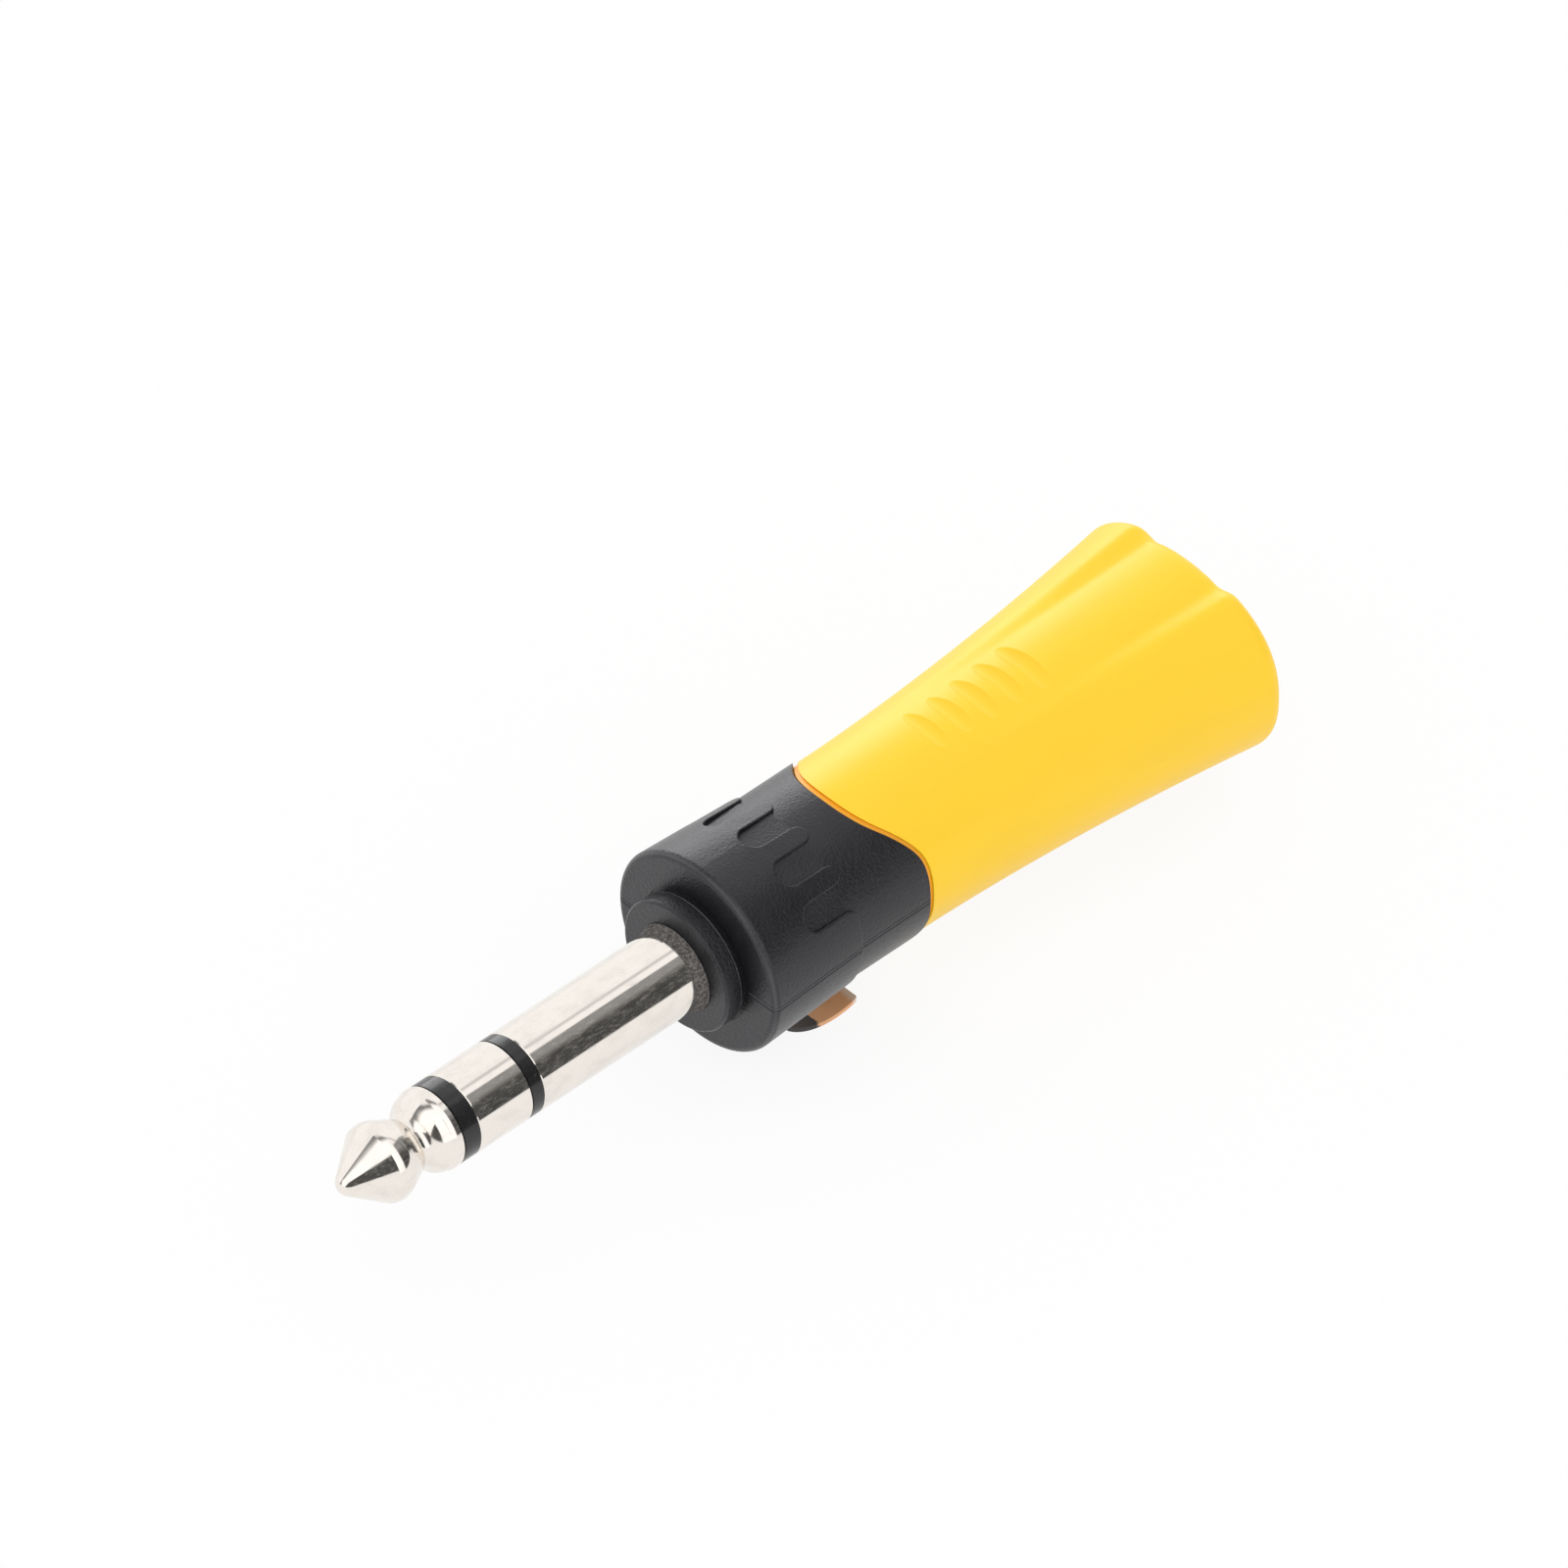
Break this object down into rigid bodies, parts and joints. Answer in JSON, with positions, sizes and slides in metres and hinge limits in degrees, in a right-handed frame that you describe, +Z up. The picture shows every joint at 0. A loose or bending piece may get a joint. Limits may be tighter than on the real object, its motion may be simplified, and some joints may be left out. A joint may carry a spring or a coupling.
{
  "type": "jack plug connector",
  "caption": "Straight audio jack plug with a turned metal pin, black moulded head with grip fingers and a spring leaf, and a flared yellow tail that takes a cable.",
  "frame": {"origin": "on the plug's axis, at the shoulder where the sleeve contact meets the collar in front of the head", "axes": "+X along the plug to its tip, +Z up through the middle of the upper grip panel, away from the latch leaf, Y across the wide side of the tail"},
  "size_m": [0.0809, 0.0192, 0.0175],
  "materials": {
    "nickel_plate": "polished nickel plate with fine turning marks",
    "brass_rod": "plain turned brass",
    "liner_plastic": "plain pale moulded plastic",
    "insulator_black": "smooth black plastic",
    "collar_metal": "rough, worn grey metal",
    "head_black": "matte black moulded plastic",
    "seal_rubber": "soft black rubber",
    "lug_metal": "tinned sheet metal",
    "chuck_plastic": "plain grey moulded plastic",
    "tail_yellow": "satin yellow moulded plastic",
    "copper_leaf": "satin copper-coloured spring metal, dark at the front"
  },
  "bodies": {
    "connector": {"tip_contact": "nickel_plate", "centre_rod": "brass_rod", "rod_tube": "liner_plastic", "front_insulator": "insulator_black", "ring_contact": "nickel_plate", "ring_tube": "liner_plastic", "rear_insulator": "insulator_black", "sleeve_contact": "nickel_plate", "sleeve_collar": "collar_metal", "head_shell": "head_black", "joint_seal": "seal_rubber", "lock_washer": "lug_metal", "lock_nut": "lug_metal", "sleeve_lug": "lug_metal", "lug_washer_front": "liner_plastic", "ring_lug": "lug_metal", "lug_washer_rear": "liner_plastic", "tip_lug": "lug_metal", "lining_tube": "liner_plastic", "cable_chuck": "chuck_plastic", "cable_seal": "seal_rubber", "tail_shell": "tail_yellow", "latch_pin": "lug_metal"},
    "latch": {"latch_leaf": "copper_leaf"}
  },
  "joints": [
    {"name": "latch_press", "type": "hinge", "parent": "connector", "child": "latch", "pos_m": [-0.0064, 0, -0.00607], "axis": [0, 1, 0], "range_deg": [0, 10], "stiffness_Nm_per_rad": 0.05, "springref_deg": -11.46}
  ]
}
